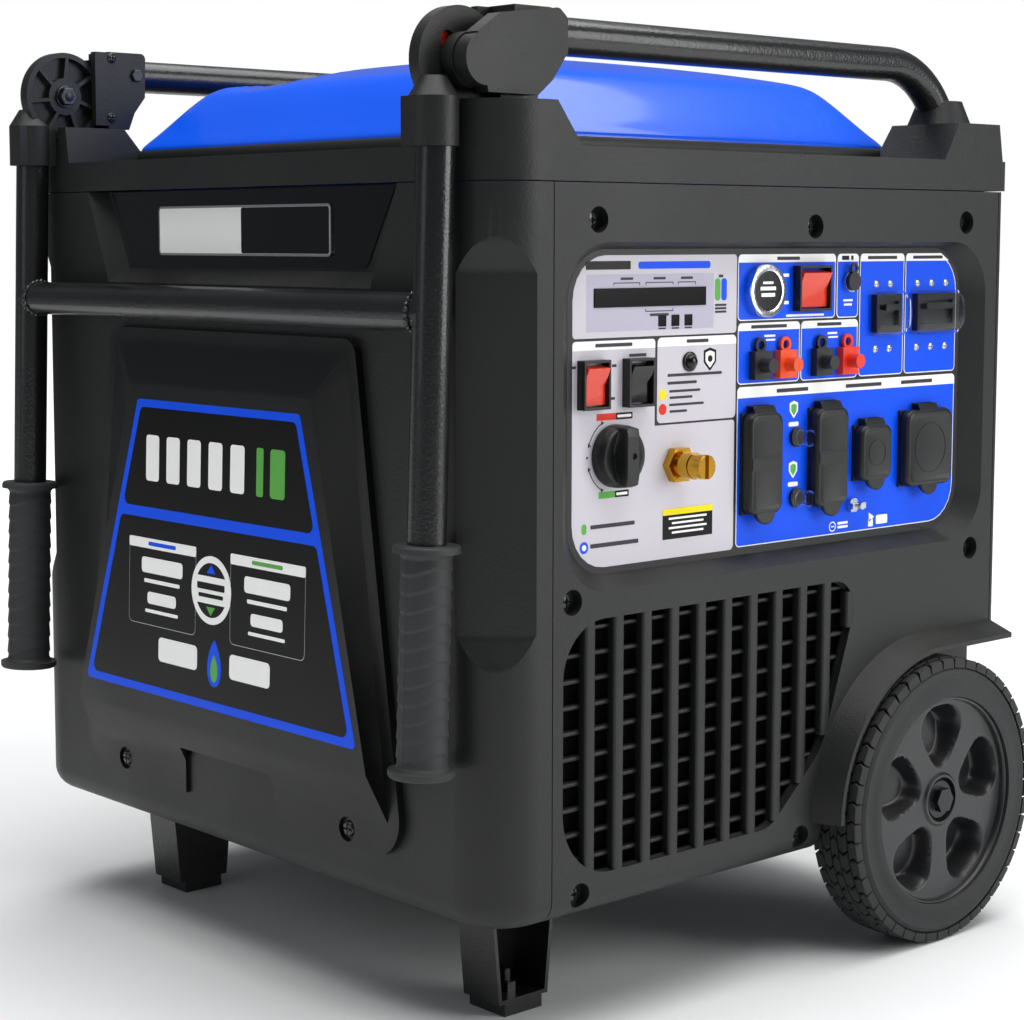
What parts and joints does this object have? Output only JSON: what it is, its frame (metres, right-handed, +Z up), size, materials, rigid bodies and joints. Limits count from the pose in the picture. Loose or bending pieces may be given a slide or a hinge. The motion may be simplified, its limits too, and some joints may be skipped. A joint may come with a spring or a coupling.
{
  "type": "portable generator",
  "caption": "Box-shaped portable inverter generator on two wheels and two feet, with a fold-down handle, a blue domed fuel tank and a side control panel.",
  "frame": {"origin": "floor level under the middle of the whole machine's box", "axes": "-Y is the control side, -X is the end the handle hangs over, +X the wheel end, +Z up"},
  "size_m": [0.6604, 0.689, 0.7545],
  "materials": {
    "black_plastic": "satin moulded plastic",
    "cover_plastic": "satin moulded plastic",
    "blue_paint": "glossy paint",
    "black_paint": "semi-gloss powder coat",
    "panel_plastic": "satin",
    "grip_rubber": "matte",
    "tyre_rubber": "matte",
    "foot_rubber": "matte",
    "rim_plastic": "satin",
    "bright_steel": "zinc plated",
    "chrome_ring": "polished",
    "brass": "machined",
    "red_plastic": "gloss",
    "black_gloss": "gloss",
    "orange_rubber": "matte",
    "red_rubber": "matte",
    "black_rubber": "matte",
    "clear_plastic": "clear polycarbonate",
    "display_black": "dark window",
    "cast_aluminium": "as cast",
    "steel_core": "machined"
  },
  "bodies": {
    "root": {"base_frame": "black_paint", "front_shell": "black_plastic", "access_cover": "cover_plastic", "control_side_panel": "black_plastic", "far_side_panel": "black_plastic", "rear_panel": "black_plastic", "top_cover": "black_plastic", "fuel_tank": "blue_paint", "intake_grille": "black_plastic", "control_panel": "panel_plastic", "foot_brackets": "black_paint", "foot_pads": "foot_rubber", "wheel_axle": "bright_steel", "top_rails": "black_paint", "rail_end_covers": "black_plastic", "hinge_brackets": "black_plastic", "fasteners": "bright_steel", "display_window": "display_black", "start_ring": "chrome_ring", "switch_frames": "panel_plastic", "breaker_bases": "panel_plastic", "outlet_bodies": "panel_plastic", "terminal_posts": "bright_steel", "gas_inlet": "brass", "engine_block": "cast_aluminium", "stator": "steel_core", "muffler": "bright_steel", "inverter_module": "cast_aluminium", "battery": "panel_plastic"},
    "handle": {"handle_frame": "black_paint", "handle_knuckles": "black_plastic", "handle_grips": "grip_rubber"},
    "lock_button": {"lock_button": "red_plastic"},
    "near_wheel": {"tyre_near": "tyre_rubber", "rim_near": "rim_plastic"},
    "far_wheel": {"tyre_far": "tyre_rubber", "rim_far": "rim_plastic"},
    "start_button": {"start_button": "black_gloss"},
    "main_rocker": {"main_rocker": "red_plastic"},
    "fuel_rocker": {"fuel_rocker": "red_plastic"},
    "idle_rocker": {"idle_rocker": "black_gloss"},
    "fuel_knob": {"fuel_knob": "panel_plastic"},
    "gas_inlet_plug": {"gas_inlet_plug": "brass"},
    "duplex_cover_left": {"duplex_cover_left": "panel_plastic"},
    "duplex_cover_right": {"duplex_cover_right": "panel_plastic"},
    "twist_lock_cover": {"twist_lock_cover": "panel_plastic"},
    "range_cover": {"range_cover": "panel_plastic"},
    "parallel_boot_black": {"parallel_boot_black": "black_rubber"},
    "parallel_boot_orange": {"parallel_boot_orange": "orange_rubber"},
    "dc_boot_black": {"dc_boot_black": "black_rubber"},
    "dc_boot_red": {"dc_boot_red": "red_rubber"},
    "charge_port_cap": {"charge_port_cap": "black_rubber"},
    "reset_button_upper": {"reset_button_upper": "clear_plastic"},
    "reset_button_lower": {"reset_button_lower": "clear_plastic"},
    "breaker_lever_small": {"breaker_lever_small": "panel_plastic"},
    "breaker_lever_main": {"breaker_lever_main": "panel_plastic"},
    "breaker_cover_small": {"breaker_cover_small": "clear_plastic"},
    "breaker_cover_main": {"breaker_cover_main": "clear_plastic"},
    "fuel_cap": {"fuel_cap": "panel_plastic"},
    "engine_shaft": {"engine_shaft": "steel_core"}
  },
  "joints": [
    {"name": "handle_fold", "type": "hinge", "parent": "root", "child": "handle", "pos_m": [-0.2658, 0, 0.714], "axis": [0, 1, 0], "range_deg": [0, 90]},
    {"name": "lock_press", "type": "slide", "parent": "handle", "child": "lock_button", "axis": [0, -1, 0], "range_m": [0, 0.0045], "stiffness_N_per_m": 600},
    {"name": "near_wheel_spin", "type": "hinge", "parent": "root", "child": "near_wheel", "pos_m": [0.2096, -0.3205, 0.1207], "axis": [0, 1, 0], "continuous": true},
    {"name": "far_wheel_spin", "type": "hinge", "parent": "root", "child": "far_wheel", "pos_m": [0.2096, 0.3205, 0.1207], "axis": [0, 1, 0], "continuous": true},
    {"name": "start_press", "type": "slide", "parent": "root", "child": "start_button", "axis": [0, 1, 0], "range_m": [0, 0.002], "stiffness_N_per_m": 900},
    {"name": "main_rock", "type": "hinge", "parent": "root", "child": "main_rocker", "pos_m": [0.0737, -0.301, 0.5515], "axis": [-1, 0, 0], "range_deg": [0, 24]},
    {"name": "fuel_rock", "type": "hinge", "parent": "root", "child": "fuel_rocker", "pos_m": [-0.1684, -0.301, 0.485], "axis": [-1, 0, 0], "range_deg": [0, 24]},
    {"name": "idle_rock", "type": "hinge", "parent": "root", "child": "idle_rocker", "pos_m": [-0.1222, -0.301, 0.485], "axis": [-1, 0, 0], "range_deg": [0, 24]},
    {"name": "fuel_knob_turn", "type": "hinge", "parent": "root", "child": "fuel_knob", "pos_m": [-0.1441, -0.3, 0.4318], "axis": [0, -1, 0], "range_deg": [0, 180]},
    {"name": "gas_plug_draw", "type": "slide", "parent": "root", "child": "gas_inlet_plug", "axis": [0, -1, 0], "range_m": [0, 0.02]},
    {"name": "duplex_cover_left_lift", "type": "hinge", "parent": "root", "child": "duplex_cover_left", "pos_m": [0.0137, -0.3055, 0.459], "axis": [-1, 0, 0], "range_deg": [0, 105]},
    {"name": "duplex_cover_right_lift", "type": "hinge", "parent": "root", "child": "duplex_cover_right", "pos_m": [0.0942, -0.3055, 0.459], "axis": [-1, 0, 0], "range_deg": [0, 105]},
    {"name": "twist_lock_cover_lift", "type": "hinge", "parent": "root", "child": "twist_lock_cover", "pos_m": [0.1502, -0.3055, 0.442], "axis": [-1, 0, 0], "range_deg": [0, 105]},
    {"name": "range_cover_lift", "type": "hinge", "parent": "root", "child": "range_cover", "pos_m": [0.221, -0.3055, 0.451], "axis": [-1, 0, 0], "range_deg": [0, 105]},
    {"name": "parallel_boot_black_pull", "type": "slide", "parent": "root", "child": "parallel_boot_black", "axis": [0, -1, 0], "range_m": [0, 0.025]},
    {"name": "parallel_boot_orange_pull", "type": "slide", "parent": "root", "child": "parallel_boot_orange", "axis": [0, -1, 0], "range_m": [0, 0.025]},
    {"name": "dc_boot_black_pull", "type": "slide", "parent": "root", "child": "dc_boot_black", "axis": [0, -1, 0], "range_m": [0, 0.025]},
    {"name": "dc_boot_red_pull", "type": "slide", "parent": "root", "child": "dc_boot_red", "axis": [0, -1, 0], "range_m": [0, 0.025]},
    {"name": "charge_port_cap_swing", "type": "hinge", "parent": "root", "child": "charge_port_cap", "pos_m": [0.115, -0.3042, 0.5562], "axis": [0, 0, -1], "range_deg": [0, 110]},
    {"name": "reset_upper_press", "type": "slide", "parent": "root", "child": "reset_button_upper", "axis": [0, 1, 0], "range_m": [0, 0.003], "stiffness_N_per_m": 700},
    {"name": "reset_lower_press", "type": "slide", "parent": "root", "child": "reset_button_lower", "axis": [0, 1, 0], "range_m": [0, 0.003], "stiffness_N_per_m": 700},
    {"name": "breaker_lever_small_throw", "type": "hinge", "parent": "root", "child": "breaker_lever_small", "pos_m": [0.1687, -0.297, 0.5295], "axis": [1, 0, 0], "range_deg": [0, 46]},
    {"name": "breaker_cover_small_lift", "type": "hinge", "parent": "root", "child": "breaker_cover_small", "pos_m": [0.1687, -0.3004, 0.5475], "axis": [-1, 0, 0], "range_deg": [0, 70]},
    {"name": "breaker_lever_main_throw", "type": "hinge", "parent": "root", "child": "breaker_lever_main", "pos_m": [0.2322, -0.297, 0.5295], "axis": [1, 0, 0], "range_deg": [0, 46]},
    {"name": "breaker_cover_main_lift", "type": "hinge", "parent": "root", "child": "breaker_cover_main", "pos_m": [0.2322, -0.3004, 0.5475], "axis": [-1, 0, 0], "range_deg": [0, 70]},
    {"name": "fuel_cap_turn", "type": "hinge", "parent": "root", "child": "fuel_cap", "pos_m": [0.0092, 0.02, 0.75], "axis": [0, 0, 1], "range_deg": [0, 90]},
    {"name": "engine_spin", "type": "hinge", "parent": "root", "child": "engine_shaft", "pos_m": [0.0192, 0.03, 0.262], "axis": [1, 0, 0], "continuous": true}
  ]
}
